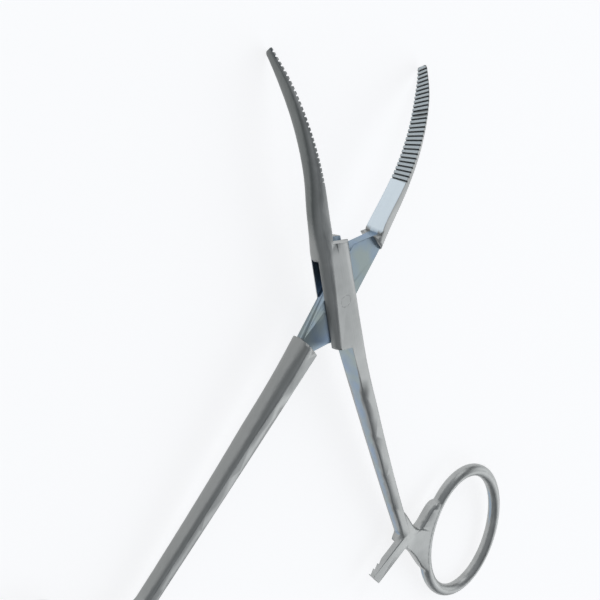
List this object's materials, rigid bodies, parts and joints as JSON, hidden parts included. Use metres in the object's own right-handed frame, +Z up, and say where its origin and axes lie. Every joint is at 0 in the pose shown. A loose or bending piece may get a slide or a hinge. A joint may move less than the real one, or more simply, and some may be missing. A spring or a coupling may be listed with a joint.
{
  "type": "hemostat forceps",
  "caption": "Curved hemostatic forceps with half-serrated jaws, box lock, oval finger rings and crossing ratchet arms, lying open.",
  "frame": {"origin": "centre of the bounding box in plan, on the surface the forceps lie on", "axes": "+X towards the jaw tips, +Y to the side of the box half's jaw, +Z up from the surface"},
  "size_m": [0.1202, 0.1388, 0.0087],
  "materials": {
    "box_half": "satin",
    "middle_half": "satin",
    "pivot_pin": "satin, ground flush"
  },
  "bodies": {
    "box_half_body": {"box_half": "box_half", "pivot_pin": "pivot_pin"},
    "middle_half_body": {"middle_half": "middle_half"}
  },
  "joints": [
    {"name": "pivot", "type": "hinge", "parent": "box_half_body", "child": "middle_half_body", "pos_m": [0.02053, 0, 0.0058], "axis": [-0.0552, 0, 0.9985], "range_deg": [-12, 48]}
  ]
}
